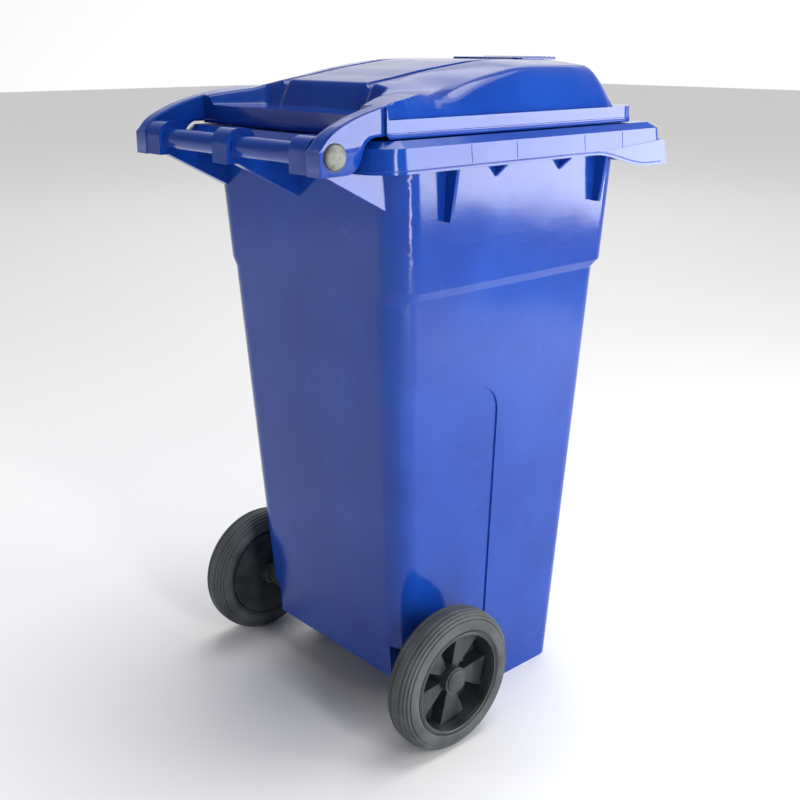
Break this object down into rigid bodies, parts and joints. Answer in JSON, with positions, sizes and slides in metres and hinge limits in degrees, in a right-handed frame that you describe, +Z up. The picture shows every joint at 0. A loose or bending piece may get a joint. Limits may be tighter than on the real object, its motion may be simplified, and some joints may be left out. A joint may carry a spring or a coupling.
{
  "type": "wheelie bin",
  "caption": "Two-wheeled refuse bin: tapered plastic body with combed rim and handle bar, hinged domed lid with side arms, solid tyres and snap-lock hubs on a steel axle.",
  "frame": {"origin": "middle of the footprint, on the ground", "axes": "+Z up, X across the bin along the axle, +Y towards the handle, -Y towards the lifting lip"},
  "size_m": [0.48, 0.614, 0.9073],
  "materials": {
    "blue_plastic": "glossy moulded polyethylene, saturated blue",
    "wheel_plastic": "dark moulded plastic, satin",
    "tyre_rubber": "solid grey-black rubber, matt",
    "pin_plastic": "moulded grey plastic",
    "steel": "zinc plated steel"
  },
  "bodies": {
    "bin": {"body": "blue_plastic", "axle": "steel", "hinge_pin_left": "pin_plastic", "axle_sleeve_left": "wheel_plastic", "axle_washer_left": "steel", "hinge_pin_right": "pin_plastic", "axle_sleeve_right": "wheel_plastic", "axle_washer_right": "steel"},
    "lid": {"lid": "blue_plastic"},
    "wheel_left": {"wheel_rim_left": "wheel_plastic", "tyre_left": "tyre_rubber", "hub_cap_left": "wheel_plastic", "latch_spring_left": "steel"},
    "latch_left": {"latch_left": "steel"},
    "wheel_right": {"wheel_rim_right": "wheel_plastic", "tyre_right": "tyre_rubber", "hub_cap_right": "wheel_plastic", "latch_spring_right": "steel"},
    "latch_right": {"latch_right": "steel"}
  },
  "joints": [
    {"name": "lid_hinge", "type": "hinge", "parent": "bin", "child": "lid", "pos_m": [0, 0.284, 0.8065], "axis": [-1, 0, 0], "range_deg": [0, 270]},
    {"name": "wheel_left_spin", "type": "hinge", "parent": "bin", "child": "wheel_left", "pos_m": [-0.218, 0.115, 0.1], "axis": [1, 0, 0], "continuous": true},
    {"name": "latch_left_slide", "type": "slide", "parent": "wheel_left", "child": "latch_left", "axis": [0, -0.9205, 0.3907], "range_m": [0, 0.0022], "stiffness_N_per_m": 1500, "springref_m": -0.004},
    {"name": "wheel_right_spin", "type": "hinge", "parent": "bin", "child": "wheel_right", "pos_m": [0.218, 0.115, 0.1], "axis": [1, 0, 0], "continuous": true},
    {"name": "latch_right_slide", "type": "slide", "parent": "wheel_right", "child": "latch_right", "axis": [0, -0.9205, 0.3907], "range_m": [0, 0.0022], "stiffness_N_per_m": 1500, "springref_m": -0.004}
  ]
}
